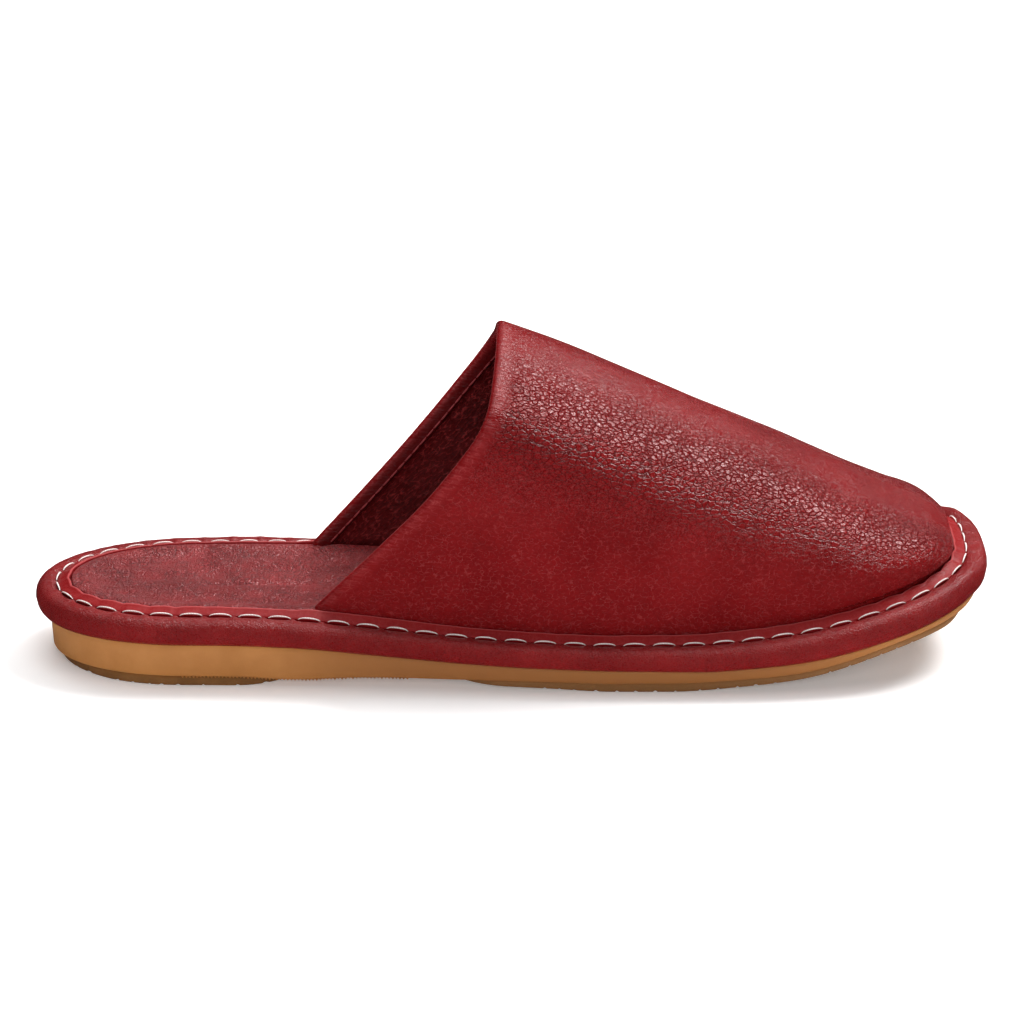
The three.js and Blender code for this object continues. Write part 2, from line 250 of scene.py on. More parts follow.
def startMaterial(name, **constants):
    material = bpy.data.materials.new(name)
    material.use_nodes = True
    tree = material.node_tree
    shader = tree.nodes["Principled BSDF"]
    for key, value in constants.items():
        shader.inputs[key].default_value = value
    place = addNode(tree, "ShaderNodeTexCoord").outputs["Object"]
    scaled = addNode(tree, "ShaderNodeVectorMath", {0: place, 3: 1000.0}, operation="SCALE").outputs[0]
    return material, tree, shader, scaled  # scaled is in millimetres


def ranged(tree, value, low, high, toLow=0.0, toHigh=1.0, smooth=True):
    return addNode(tree, "ShaderNodeMapRange", {0: value, 1: low, 2: high, 3: toLow, 4: toHigh},
                   interpolation_type="SMOOTHSTEP" if smooth else "LINEAR").outputs[0]


def calc(tree, operation, a, b=0.0, c=0.0):
    return addNode(tree, "ShaderNodeMath", {0: a, 1: b, 2: c}, operation=operation).outputs[0]


def blended(tree, factor, a, b):
    return addNode(tree, "ShaderNodeMix", {0: factor, 6: a, 7: b}, data_type="RGBA").outputs[2]


def noise(tree, at, scale, detail=2.0, rough=.5, output="Fac"):
    return addNode(tree, "ShaderNodeTexNoise", {"Vector": at, "Scale": scale, "Detail": detail,
                                                "Roughness": rough}).outputs[output]


def known(tree, attribute):
    return addNode(tree, "ShaderNodeAttribute", attribute_name=attribute).outputs["Fac"]


def finishMaterial(tree, shader, colour, rough, height, distance, strength=1.0):
    bump = addNode(tree, "ShaderNodeBump", {"Strength": strength, "Distance": distance * mm,
                                            "Height": height})
    for key, value in {"Base Color": colour, "Roughness": rough, "Normal": bump.outputs[0]}.items():
        tree.links.new(value, shader.inputs[key])


def leather(name, look):
    # Chrome-tanned cowhide with a pigmented, pressed grain: pebbles with fine creases between them,
    # which break a broad satin highlight into sparks, over a deep even red
    material, tree, shader, place = startMaterial(name, **{
        "IOR": 1.48, "Metallic": 0.0, "Specular IOR Level": look["specular"]})
    times = lambda a, b: calc(tree, "MULTIPLY", a, b)
    timesPlus = lambda a, b, c: calc(tree, "MULTIPLY_ADD", a, b, c)
    tinted = lambda colour, amount, key: blended(tree, amount, colour, linear(look[key]))
    if look.get("follows"):  # the pattern runs with the top edge: length along it, distance from it
        place = addNode(tree, "ShaderNodeCombineXYZ", {0: known(tree, "along"),
                                                       1: known(tree, "edge")}).outputs[0]
    drift = addNode(tree, "ShaderNodeVectorMath", {0: noise(tree, place, .42, 3.0, output="Color"),
                                                   1: (.5, .5, .5)}, operation="SUBTRACT").outputs[0]
    warped = addNode(tree, "ShaderNodeVectorMath", {0: drift, 1: (look["warp"],) * 3, 2: place},
                     operation="MULTIPLY_ADD").outputs[0]
    turned = addNode(tree, "ShaderNodeMapping", {0: warped, 2: look["turn"], 3: look["stretch"]},
                     vector_type="POINT").outputs[0]

    def cells(size):
        return addNode(tree, "ShaderNodeTexVoronoi", {"Vector": turned, "Scale": 1 / size, "Randomness": 1.0},
                       feature="DISTANCE_TO_EDGE").outputs["Distance"]

    pebbles = cells(look["pebble"])
    slope = ranged(tree, pebbles, 0.0, .2, smooth=False)
    dome = times(slope, calc(tree, "SUBTRACT", 2.0, slope))
    # the clefts between the pebbles, a mask for painted shade: the colour darkens where shade would fall in
    # them
    cleftShade = ranged(tree, pebbles, 0.0, .1, 1.0, 0.0)
    fold = ranged(tree, cells(look["fold"]), 0.0, look["line"], 1.0, 0.0)
    crackle = ranged(tree, cells(look["fine"]), 0.0, .2)
    patchy = ranged(tree, noise(tree, place, .11, 3.0), .36, .6)
    pebbled = known(tree, "grain") if look["dressed"] else times(patchy, look.get("pebbled", 1.0))
    plain = calc(tree, "SUBTRACT", 1.0, pebbled)
    broken = ranged(tree, noise(tree, place, .8), .4, .58)
    spread = patchy
    if look["dressed"]:
        spread = times(broken, ranged(tree, pebbled, .2, .5, .75, 1.5))
    if look.get("follows"):
        spread = broken
    fold = times(fold, times(plain, spread))
    # height: domes where the leather is pebbled, thin raised folds where it is plain, crackle all over
    height = timesPlus(crackle, look["fineHeight"], times(fold, look["foldHeight"]))
    height = timesPlus(times(dome, look["domeHeight"]), pebbled, height)
    if look.get("tilt"):  # each group of pebbles leans its own way, so only some of them catch the light
        height = timesPlus(times(noise(tree, turned, .62, 1.0), pebbled), look["tilt"], height)
    if look["dressed"]:
        # smooth where the leather is turned over its edge, then hair-fine puckers square to the fold
        edge = known(tree, "edge")
        height = times(height, ranged(tree, edge, 1.5, 5.0, .4, 1.0))
        comb = addNode(tree, "ShaderNodeCombineXYZ", {0: times(known(tree, "along"), 1.5),
                                                      1: times(edge, .22)}).outputs[0]
        band = times(ranged(tree, edge, .4, 1.6), ranged(tree, edge, 2.6, 5.6, 1.0, 0.0))
        hair = times(ranged(tree, noise(tree, comb, 1.0, 3.0, .6), .38, .66), band)
        height = timesPlus(hair, look["hair"], height)
    height = timesPlus(noise(tree, place, 2.3, 3.0, .7), look["pore"], height)
    cloudy = ranged(tree, noise(tree, place, look.get("cloud", .035), 4.0, .6), .3, .7)
    colour = blended(tree, cloudy, linear(look["dark"]), linear(look["light"]))
    # painted shade: the clefts between the pebbles darken towards the cleft colour
    colour = tinted(colour, times(times(cleftShade, look["cleftShade"]), pebbled), "paintedCleftShade")
    # painted shading on the thin folds: a lighter painted highlight on their raised edges, and on the insole
    # a darker painted shade in its grooves
    colour = tinted(colour, times(fold, look["crease"]), "paintedFoldShading")
    worn = ranged(tree, noise(tree, place, 2.1, 3.0, .7), .25, .8, look["rough"] - .06, look["rough"] + .08)
    if look["dressed"]:
        # painted highlight: light streaks along the hair-fine puckers, where they would catch the light
        colour = tinted(colour, times(hair, look["hairPaintedHighlight"]), "paintedHighlight")
        # painted shade on the inner side of the turned-in hem, inside the opening
        colour = tinted(colour, times(known(tree, "inner"), .85), "inside")
        # painted highlight: a thin light line along the crest of the fold
        colour = tinted(colour, ranged(tree, edge, .15, look["edgeHighlightWidth"], look["edgeHighlight"], 0.0), "paintedHighlight")
        # the plain leather keeps more of its polish than the broken grain
        worn = calc(tree, "ADD", worn, ranged(tree, pebbled, .15, .6, -.07, 0.0))
    finishMaterial(tree, shader, colour, worn, height, look["depth"])
    return material


# Looks: dark and light are the leather's own mottled red; the cleft colour is painted shade in the clefts
# between the pebbles, and the fold colour a lighter painted highlight on the thin folds
plainLook = {"dark": "#870c10", "light": "#961618", "paintedCleftShade": "#5c0709", "paintedFoldShading": "#b04543",
             "cleftShade": .5, "crease": .3, "pebble": 1.3, "fold": 2.2, "fine": .62, "line": .07, "warp": 1.0,
             "turn": (0, 0, 0), "stretch": (1, 1, 1), "domeHeight": .15, "foldHeight": .25, "fineHeight": .4,
             "pore": .6, "depth": .11, "rough": .36, "specular": .36, "dressed": False}
# on the vamp, the rubbed colour is a painted highlight along the crest and on the hair streaks, and the
# inside colour is painted shade on the turned-in hem
vampLook = {**plainLook, "dark": "#6f070a", "light": "#7e0f12", "paintedCleftShade": "#4a0507",
            "paintedFoldShading": "#a24243", "pebble": 1.35, "fold": 1.3, "line": .09, "warp": 1.5,
            "turn": (0, math.radians(-30), 0), "stretch": (.66, 1, 1), "domeHeight": .8, "foldHeight": .5,
            "fineHeight": .16, "pore": .06, "tilt": 1.1, "cleftShade": .75, "crease": .58, "depth": .35,
            "rough": .27, "specular": .38, "dressed": True, "hair": .34, "hairPaintedHighlight": .25, "edgeHighlight": .75,
            "edgeHighlightWidth": .6, "paintedHighlight": "#b04a4c", "inside": "#50080a"}
rollLook = {**plainLook, "dark": "#760b0e", "light": "#861315", "cloud": .06, "fine": .8, "depth": .27,
            "rough": .31, "specular": .46}
# on the strip, the rubbed colour is a painted highlight along the fold's crest
stripLook = {**plainLook, "dark": "#7e0c10", "light": "#8c1719", "dressed": True, "hair": .1, "hairPaintedHighlight": .1,
             "edgeHighlight": .7, "edgeHighlightWidth": .7, "paintedHighlight": "#bd5556", "inside": "#56090c", "rough": .4,
             "specular": .16, "depth": .16}
# on the insole the fold colour is dark: painted shade in the grooves of the folds
insoleLook = {**plainLook, "dark": "#7c1013", "light": "#942023", "paintedCleftShade": "#520609",
              "paintedFoldShading": "#4a0507", "cleftShade": .9, "crease": 1.0, "pebble": 1.4, "fold": 3.8, "fine": .85,
              "warp": 2.6, "stretch": (.8, .6, 1), "domeHeight": .8, "foldHeight": -1.3, "fineHeight": .9,
              "depth": .36, "rough": .4, "specular": .95, "cloud": .04}
# on the lining, the very dark cleft colour is painted shade, and the light fold colour is a painted highlight
liningLook = {**plainLook, "dark": "#580a0c", "light": "#741618", "paintedCleftShade": "#220203",
              "paintedFoldShading": "#b44041", "cleftShade": .95, "crease": 1.0, "follows": True, "pebbled": .4,
              "pebble": 1.25, "fold": 1.5, "line": .13, "warp": 1.5, "stretch": (.36, 1, 1),
              "domeHeight": 1.0, "foldHeight": .8, "depth": .65, "rough": .4, "specular": .25}

vampLeather = leather("pebbledCowhide", vampLook)
rollLeather = leather("smoothPaddedLeather", rollLook)
stripLeather = leather("foldedStripLeather", stripLook)
insoleLeather = leather("fineGrainLiningLeather", insoleLook)
liningLeather = leather("vampLiningLeather", liningLook)


def moulded(name, look):
    # Gum rubber, pressed in a mould: a soft satin skin, cloudy amber-tan, darker towards the waist, which is
    # painted shade for the undercut wall there
    material, tree, shader, place = startMaterial(name, **{
        "IOR": 1.52, "Metallic": 0.0, "Specular IOR Level": .35, "Subsurface Weight": .06,
        "Subsurface Scale": .004, "Subsurface Radius": (1.0, .5, .2)})
    cloud = noise(tree, place, .06, 5.0, .6)
    skin = noise(tree, place, 2.2, 4.0, .65)
    colour = blended(tree, ranged(tree, cloud, .32, .68), linear(look["dark"]), linear(look["light"]))
    along = addNode(tree, "ShaderNodeSeparateXYZ", {0: place}).outputs[0]
    # painted shade: the colour moves to the waist colour from the heel forward, and eases back towards the
    # toe
    towardWaistShading, toToe = ranged(tree, along, -85.0, -25.0), ranged(tree, along, 60.0, 125.0, 0.0, .35)
    colour = blended(tree, calc(tree, "SUBTRACT", towardWaistShading, toToe), colour, linear(look["waistShading"]))
    speck = ranged(tree, skin, .62, .78, 0.0, look["speck"])
    colour = blended(tree, speck, colour, linear(look["speckColour"]))
    rough = ranged(tree, skin, .2, .8, look["rough"] - .05, look["rough"] + .08)
    finishMaterial(tree, shader, colour, rough, skin, .03)
    return material


wallRubber = moulded("gumRubberWall", {"dark": "#b27438", "light": "#c08143", "waistShading": "#9e6430",
                                       "speckColour": "#8a5526", "speck": .25, "rough": .5})
treadRubber = moulded("gumRubberTread", {"dark": "#7c5329", "light": "#906235", "waistShading": "#8a5f36",
                                         "speckColour": "#3c2613", "speck": .6, "rough": .62})


def waxedThread(name, light, dark, rough):
    # Waxed polyester thread, twisted from three plies: fine slanting ridges with a soft shine, and painted
    # shade darkening the grooves between the plies
    material, tree, shader, place = startMaterial(name, **{
        "IOR": 1.5, "Sheen Weight": .15, "Sheen Roughness": .4})
    up = addNode(tree, "ShaderNodeSeparateXYZ", {0: place}).outputs[2]
    ply = calc(tree, "MULTIPLY_ADD", known(tree, "alongStitch"), 9.0, up)
    wave = ranged(tree, calc(tree, "SINE", calc(tree, "MULTIPLY", ply, 2 * math.pi)), -1.0, 1.0)
    fuzz = noise(tree, place, 6.0)
    height = calc(tree, "MULTIPLY_ADD", fuzz, .3, wave)
    worn = ranged(tree, fuzz, .3, .7, rough - .08, rough + .08)
    # painted shade: the colour darkens where the ply wave is low, in the grooves
    finishMaterial(tree, shader, blended(tree, wave, linear(dark), linear(light)), worn, height, .1, .8)
    return material


whiteThread = waxedThread("waxedWhiteThread", "#fffcf8", "#f0e3dd", .5)
redThread = waxedThread("redSewingThread", "#b04a4c", "#8f2a2c", .5)

# Stitch spacing, which the roll, the strip and the thread share
seamStitch = {"count": 73, "length": 6.6, "thickness": .47, "rise": .16, "sink": .8, "out": .0, "up": -.48,
              "start": .625, "lean": 12, "pathPoints": 730}
pitch = perimeter / seamStitch["count"]


def fromHole(run):  # distance to the nearest pair of holes, as a share of the pitch, 0 to 0.5
    share = (run / pitch - seamStitch["start"] + .5) % 1.0
    return np.minimum(share, 1 - share)


def bend(v, roundness):
    return np.sign(v) * np.abs(v) ** (2 / roundness)


# Rand: a leather tube over a soft cord, drawn in by the thread
roll = {"around": 1480, "section": 30, "centreOut": 2.5, "centreUp": -4.98, "halfWidth": 3.75,
        "halfHeight": 4.2, "roundness": 2.5, "pucker": .5, "pinch": .3, "lump": .22, "wrinkle": .08}


def makeRoll():
    run = np.arange(roll["around"]) * perimeter / roll["around"]
    angle = np.arange(roll["section"]) * 2 * np.pi / roll["section"]
    near = fromHole(run)[:, None]
    crest = np.exp(-((angle - 1.95) / .55) ** 2)[None, :]
    grow = roll["pucker"] * (np.exp(-(near / .13) ** 2) - .45) * crest
    grow = grow - roll["pinch"] * np.exp(-((near - .13) / .035) ** 2) * np.exp(-((angle - 2.15) / .3) ** 2)
    flat = np.stack(np.broadcast_arrays(run[:, None], 6 * angle[None, :]), -1).reshape(-1, 2)
    grow = grow + roll["lump"] * softNoise(flat, (19, 9), 3).reshape(grow.shape)
    top = np.clip(np.sin(angle), 0, 1)[None, :]
    grow = grow + roll["wrinkle"] * top * softNoise(flat, (2.6, 14), 4).reshape(grow.shape)
    section = np.stack([
        roll["centreOut"] + (roll["halfWidth"] + grow) * bend(np.cos(angle), roll["roundness"]),
        roll["centreUp"] + (roll["halfHeight"] + grow) * bend(np.sin(angle), roll["roundness"])], -1)
    points = ringPoints(run, section).reshape(-1, 3)
    piece = makePiece("paddedRoll", points, gridFaces(len(run), len(angle), True, True), rollLeather,
                      node="rand")


makeRoll()
print("rand made")

# Binding: a folded strip, dimpled where each stitch pulls it down
strip = {"around": 1480, "pull": .37, "dip": .17, "dent": .16, "straight": .3, "vampRise": .5}


def makeStrip():
    run = np.arange(strip["around"]) * perimeter / strip["around"]
    profile = np.array([(-.05, -1.3), (-.3, -.95), (-.8, -.66), (-1.6, -.34), (-2.4, -.02), (-3.0, .24),
                        (-3.35, .38), (-3.6, .42), (-3.76, .34), (-3.84, .14), (-3.86, -.3), (-3.86, -1.2),
                        (-3.86, -2.65), (-2.6, -2.7), (-1.43, -2.7), (-1.05, -2.2)])
    face = np.array([.1, .35, .8, 1, 1, .8, .5, .2, .1, 0, 0, 0, 0, 0, 0, 0])
    edge = np.array([0, 0, .1, .3, .6, .9, 1, 1, 1, 1, 1, .6, 0, 0, 0, 0])
    near = fromHole(run)
    place = seamAt(run)[0]
    flat = np.stack([run, np.zeros_like(run)], -1)
    curved = strip["straight"] + (1 - strip["straight"]) * smoothstep(.006, .022, seamCurvature(run))
    pull = curved * (1 + .35 * softNoise(flat, 9, 11)) * (1 + .5 * smoothstep(20, 110, place[:, 0]))
    corner = 1 - np.clip(near / .5, 0, 1)  # straight runs between the holes, with a corner at each
    section = np.repeat(profile[None], len(run), 0)
    # it stands higher where the vamp backs it, with a small lump where the vamp begins
    backed = smoothstep(-64, -54, place[:, 0]) + .7 * np.exp(-((place[:, 0] + 60) / 3.5) ** 2)
    section[..., 1] += (strip["vampRise"] * backed)[:, None] * edge
    section[..., 0] += (strip["pull"] * pull * (corner - .3))[:, None] * edge
    section[..., 1] -= (strip["dip"] * pull * corner ** 2)[:, None] * edge
    section[..., 1] -= (strip["dent"] * pull * np.exp(-(near / .16) ** 2))[:, None] * face
    section[..., 1] += (.06 * softNoise(flat, 3.1, 12))[:, None] * edge
    section[..., 0] = np.maximum(section[..., 0], -3.95)
    points = ringPoints(run, section).reshape(-1, 3)
    # distance from the fold's crest, which also places the painted highlight along it
    fromFold = np.linalg.norm(profile - profile[7], axis=1)
    makePiece("edgeBinding", points, gridFaces(len(run), len(profile), True, True), stripLeather,
              node="binding",
              data={"grain": np.zeros(len(points)), "inner": np.zeros(len(points)),
                    "edge": np.tile(fromFold, len(run)), "along": np.repeat(run, len(profile))})


def seamCurvature(run):
    tangent = lambda r: seamAt(r)[1]
    turn = tangent(run + 2) - tangent(run - 2)
    return np.linalg.norm(turn, axis=1) / 4


makeStrip()
print("binding made")


# Small shapes that follow a line: one shape, turned to the line and placed along it
def startTree(name, sockets):
    tree = bpy.data.node_groups.new(name, "GeometryNodeTree")
    for way in ("INPUT", "OUTPUT"):
        tree.interface.new_socket("Geometry", in_out=way, socket_type="NodeSocketGeometry")
    for key, kind in sockets.items():
        tree.interface.new_socket(key, in_out="INPUT", socket_type="NodeSocket" + kind)
    add = lambda kind, inputs=None, **settings: addNode(tree, kind, inputs, **settings)
    return tree, tree.nodes.new("NodeGroupInput").outputs, add


def pathPoints(add, given):  # the places along the path, and the direction that is stored on it
    line = add("GeometryNodeMeshToCurve", {"Mesh": given["Geometry"]})
    points = add("GeometryNodeCurveToPoints", {"Curve": line.outputs[0], "Count": given["Count"]},
                 mode="COUNT")
    lift = add("GeometryNodeInputNamedAttribute", {"Name": "lift"}, data_type="FLOAT_VECTOR")
    return points.outputs, lift.outputs[0]


def finishTree(tree, add, given, points, shape, rotation, sizes, smooth):
    size = add("FunctionNodeRandomValue", {"Min": sizes[0], "Max": sizes[1], "Seed": given["Seed"]},
               data_type="FLOAT")
    made = add("GeometryNodeInstanceOnPoints", {"Points": points[0], "Instance": shape.outputs[0],
                                                "Rotation": rotation.outputs[0], "Scale": size.outputs[1]})
    made = add("GeometryNodeRealizeInstances", {0: made.outputs[0]})
    if smooth:
        made = add("GeometryNodeSetShadeSmooth", {0: made.outputs[0], "Shade Smooth": True})
    made = add("GeometryNodeSetMaterial", {0: made.outputs[0], "Material": given["Material"]})
    tree.links.new(made.outputs[0], tree.nodes.new("NodeGroupOutput").inputs[0])
    return tree


def stitchTree(name):  # one bent, tapered stitch
    tree, given, add = startTree(name, {
        "Count": "Int", "Length": "Float", "Thickness": "Float", "Rise": "Float", "Sink": "Float",
        "Wobble": "Float", "Seed": "Int", "Material": "Material"})
    maths = lambda operation, a, b: add("ShaderNodeMath", {0: a, 1: b}, operation=operation).outputs[0]
    times = lambda a, b: maths("MULTIPLY", a, b)
    vector = lambda share, z: add("ShaderNodeCombineXYZ", {0: times(given["Length"], share), 2: z}).outputs[0]
    sunk, arch = times(given["Sink"], -1.0), times(given["Rise"], 1.33)
    segment = add("GeometryNodeCurvePrimitiveBezierSegment", {
        "Resolution": 12, "Start": vector(-.5, sunk), "Start Handle": vector(-.42, arch),
        "End Handle": vector(.42, arch), "End": vector(.5, sunk)})
    segment = add("GeometryNodeResampleCurve", {"Curve": segment.outputs[0], "Count": 10})
    factor = add("GeometryNodeSplineParameter").outputs["Factor"]
    fromEnd = maths("MINIMUM", factor, maths("SUBTRACT", 1.0, factor))
    taper = add("ShaderNodeMapRange", {0: fromEnd, 1: 0.0, 2: .3, 3: .55, 4: 1.0}).outputs[0]
    ring = add("GeometryNodeCurvePrimitiveCircle", {"Resolution": 7, "Radius": times(given["Thickness"], .5)})
    marked = add("GeometryNodeStoreNamedAttribute", {
        "Geometry": segment.outputs[0], "Name": "alongStitch", "Value": factor},
        data_type="FLOAT", domain="POINT")
    tube = add("GeometryNodeCurveToMesh", {"Curve": marked.outputs[0], "Profile Curve": ring.outputs[0],
                                           "Scale": taper, "Fill Caps": True})
    points, lift = pathPoints(add, given)
    facing = add("FunctionNodeAxesToRotation", {0: points["Tangent"], 1: lift},
                 primary_axis="X", secondary_axis="Z")
    swayed = add("FunctionNodeRandomValue", {"Min": times(given["Wobble"], -1.0), "Max": given["Wobble"],
                                             "Seed": given["Seed"]}, data_type="FLOAT").outputs[1]
    turned = add("ShaderNodeCombineXYZ", {0: swayed, 2: times(swayed, .5)})
    turned = add("FunctionNodeEulerToRotation", {0: turned.outputs[0]})
    posed = add("FunctionNodeRotateRotation", {0: facing.outputs[0], 1: turned.outputs[0]},
                rotation_space="LOCAL")
    sizes = (maths("SUBTRACT", 1.0, given["Wobble"]), 1.0)
    return finishTree(tree, add, given, points, tube, posed, sizes, True)


def throughNodes(name, path, lift, closed, tree, values):
    mesh = bpy.data.meshes.new(name + "Path")
    count = len(path)
    edges = [(i, i + 1) for i in range(count - 1)] + [(count - 1, 0)] * closed
    mesh.from_pydata((np.asarray(path) * mm).tolist(), edges, [])
    mesh.attributes.new("lift", "FLOAT_VECTOR", "POINT").data.foreach_set("vector", np.ravel(lift))
    piece = addObject(name, mesh)
    modifier = piece.modifiers.new("made", "NODES")
    modifier.node_group = tree
    sockets = {s.name: s.identifier for s in tree.interface.items_tree if s.in_out == "INPUT"}
    for key, value in values.items():
        modifier[sockets[key]] = value
    evaluated = piece.evaluated_get(bpy.context.evaluated_depsgraph_get())
    made = bpy.data.meshes.new_from_object(evaluated)
    piece.modifiers.clear()
    piece.data = made
    made.name = name
    bpy.data.meshes.remove(mesh)
    return settle(piece)


threadTree = stitchTree("threadStitches")


def sewSeam():
    count = seamStitch["pathPoints"]
    run = (np.arange(count) / count * seamStitch["count"] + seamStitch["start"]) * pitch
    path = ringPoints(run, np.full((count, 1, 2), (seamStitch["out"], seamStitch["up"])))[:, 0]
    lean = math.radians(seamStitch["lean"])
    lift = np.column_stack([seamAt(run)[1] * math.sin(lean), np.full(len(run), math.cos(lean))])
    throughNodes("seamStitches", path, lift, True, threadTree, {
        "Count": seamStitch["count"], "Length": seamStitch["length"] * mm,
        "Thickness": seamStitch["thickness"] * mm, "Rise": seamStitch["rise"] * mm,
        "Sink": seamStitch["sink"] * mm, "Wobble": .07, "Seed": 5, "Material": whiteThread})


sewSeam()
print("seam stitches made")


# Bodies with a flat or dished face: rings of points that close on a line down the middle
def sidePairs(steps):  # one turn of stations, the outer side up to the toe and back down the inner side
    turn, line, run = seamTurn, seamLine, seamRun
    stations = np.interp(np.linspace(0, np.interp(1.0, turn, run), steps + 1), run, turn)
    side = np.concatenate([-np.ones(steps + 1), np.ones(steps - 1)])
    return side, np.concatenate([stations, stations[-2:0:-1]])


def closedBody(rings, spine, topInsets, bottomInsets, topHeight, bottomHeight):
    # rings: the wall's (plan, height) rings from the top rim to the bottom rim
    count = len(rings[0][0])
    half = count // 2
    pair = np.minimum(np.arange(count), count - np.arange(count))
    centre = spine[pair]
    rows = []
    rim = rings[0][0]
    for inset in topInsets[::-1]:
        plan = rim + (centre - rim) * inset
        rows.append((plan, topHeight(plan, np.linalg.norm(plan - rim, axis=1))))
    rows += rings
    rim = rings[-1][0]
    for inset in bottomInsets:
        plan = rim + (centre - rim) * inset
        rows.append((plan, bottomHeight(plan)))
    points = np.concatenate([np.column_stack([plan, height]) for plan, height in rows])
    faces = gridFaces(len(rows), count, closeColumns=True)
    top = np.linalg.norm(spine[pair[:half + 1]] - rings[0][0][:half + 1], axis=1)
    for heights, row in ((topHeight(spine, top), 0), (bottomHeight(spine), len(rows) - 1)):
        first = len(points)
        points = np.concatenate([points, np.column_stack([spine, heights])])
        here, there = np.arange(count), (np.arange(count) + 1) % count
        faces += np.stack([first + pair[here], first + pair[there], row * count + there,
                           row * count + here], -1).tolist()
    return points, faces


def spineOf(rim, fromEnds):
    half = len(rim) // 2
    back = (len(rim) - np.arange(half + 1)) % len(rim)
    middle = (rim[:half + 1] + rim[back]) / 2
    x = np.interp(middle[:, 0], (middle[0, 0], middle[-1, 0]),
                  (middle[0, 0] + fromEnds[0], middle[-1, 0] - fromEnds[1]))
    return np.stack([x, np.interp(x, middle[:, 0], middle[:, 1])], -1)


insole = {"steps": 380, "dish": 1.5, "rim": .3, "vampRim": 1.9, "rimWidth": 11.0, "trough": .8,
          "crease": 1.25, "swell": .34, "ripple": .16}


def insoleTop(plan, inset):
    x, y = plan[:, 0], plan[:, 1]
    rim = insole["rim"] + insole["vampRim"] * smoothstep(-62, -50, x)
    top = aboveSeam(x, rim * smoothstep(0, 2, inset))
    top = top - insole["dish"] * smoothstep(0, insole["rimWidth"], inset)
    worn = smoothstep(3, 12, inset)
    # two soft troughs along the foot, and the long crease that the heel has pressed in
    top = top - insole["trough"] * worn * np.exp(-((y + 1 + 6 * np.sin(x / 34)) / 7) ** 2)
    line = y + 5.2 - .05 * (x + 70) + .7 * np.sin(x / 9)
    long = smoothstep(-98, -84, x) * (1 - smoothstep(-46, -34, x))
    top = top - insole["crease"] * worn * long * np.exp(-np.abs(line) / np.where(line < 0, 4.0, 2.6))
    wide = softNoise(plan, (26, 13), 21) + .5 * softNoise(plan, (11, 6), 22)
    return top + insole["swell"] * worn * wide + insole["ripple"] * worn * softNoise(plan, (7.5, 2.6), 23)


def makeInsole():
    side, station = sidePairs(insole["steps"])
    x = seamPlan(side, station)[:, 0]
    edge = -4.25 - 2.5 * smoothstep(-59.5, -57.5, x)
    ring = lambda out: offsetPlan(side, station, out)
    level = lambda out, up: (ring(out), aboveSeam(ring(out)[:, 0], up))
    rim = ring(edge - .5)
    rings = [(rim, insoleTop(rim, np.full(len(rim), .5))), level(edge - .15, -.12), level(edge, -.55),
             level(edge, last["ledge"]), level(-1.7, last["ledge"]), level(-1.5, last["ledge"] - .25),
             (ring(-1.5), soleTop(ring(-1.5)[:, 0]) + last["gap"])]
    steps = np.linspace(0, 1, 46)[1:-1] ** 1.25
    spine = spineOf(rim, (32, 36))
    points, faces = closedBody(rings, spine, steps, np.array([.25, .5, .75]),
                               lambda plan, inset: insoleTop(plan, inset + .5),
                               lambda plan: soleTop(plan[:, 0]) + last["gap"])
    piece = makePiece("dishedInsole", points, faces, insoleLeather, node="insole")


makeInsole()
print("insole made")

# Outsole: one gum rubber wall, with a heel pad and a forefoot tread below it
sole = {"steps": 460, "draft": .6, "round": .7,
        # along the foot, how deep the tread is below the wall
        "tread": [(-134, 3.1), (-80, 3.1), (-56, 1.9), (-28, 1.7), (0, 2.1), (38, 2.9), (85, 2.2),
                  (134, 2.2)]}
treadDepth = smoothCurve(sole["tread"], 1)


def makeWall():
    side, station = sidePairs(sole["steps"])
    out = wallOut(shareOf(station))
    ring = lambda inwards: offsetPlan(side, station, out - inwards)
    low = lambda plan: soleBottom(plan[:, 0]) + treadDepth(plan[:, 0])
    rings = []
    for inwards, down in ((sole["round"], 0), (.25, .2), (0, sole["round"])):
        plan = ring(inwards)
        rings.append((plan, soleTop(plan[:, 0]) - down))
    for share in (.25, .5, .75, 1):
        plan = ring(sole["draft"] * share)
        top = soleTop(plan[:, 0]) - sole["round"]
        rings.append((plan, top + (low(plan) + .3 - top) * share))
    plan = ring(sole["draft"] + .15)
    rings.append((plan, low(plan)))
    rim = rings[0][0]
    points, faces = closedBody(rings, spineOf(rim, (34, 38)), np.array([.3, .6]),
                               np.array([.1, .3, .5, .7, .9]), lambda plan, inset: soleTop(plan[:, 0]), low)
    return makePiece("soleWall", points, faces, wallRubber, node="outsole")


pads = {"heel": {"from": 0, "to": .28, "setIn": .9, "backIn": 1.6, "backReach": 22, "roundBack": .5,
                 "roundFront": 24},
        "forefoot": {"from": .4, "to": .996, "setIn": .7, "backIn": 0, "backReach": 1, "roundBack": 26,
                     "roundFront": 9}}
groove = {"pitch": 5.6, "width": .42, "deep": .95, "wave": 1.6, "waveLength": 13.0, "stray": 1.6,
          "margin": 3.2, "notch": .55}


def tread(plan, fromEdge):  # wavy grooves across the foot, and small notches in the edge
    x, y = plan[:, 0], plan[:, 1]
    at = x + groove["wave"] * np.sin(2 * np.pi * y / groove["waveLength"])
    at = at + groove["stray"] * softNoise(plan, (9, 40), 61)
    away = np.abs((at / groove["pitch"] + .5) % 1 - .5) * groove["pitch"]
    cut = 1 - smoothstep(groove["width"] * .6, groove["width"] * 1.4, away)
    chosen = softNoise(np.stack([np.floor(at / groove["pitch"]) * 7.3, y * 0], -1), 3, 62) > -.1
    inside = groove["deep"] * smoothstep(groove["margin"] - 1, groove["margin"], fromEdge)
    return cut * (inside + groove["notch"] * chosen * (1 - smoothstep(.4, 1.1, fromEdge)))


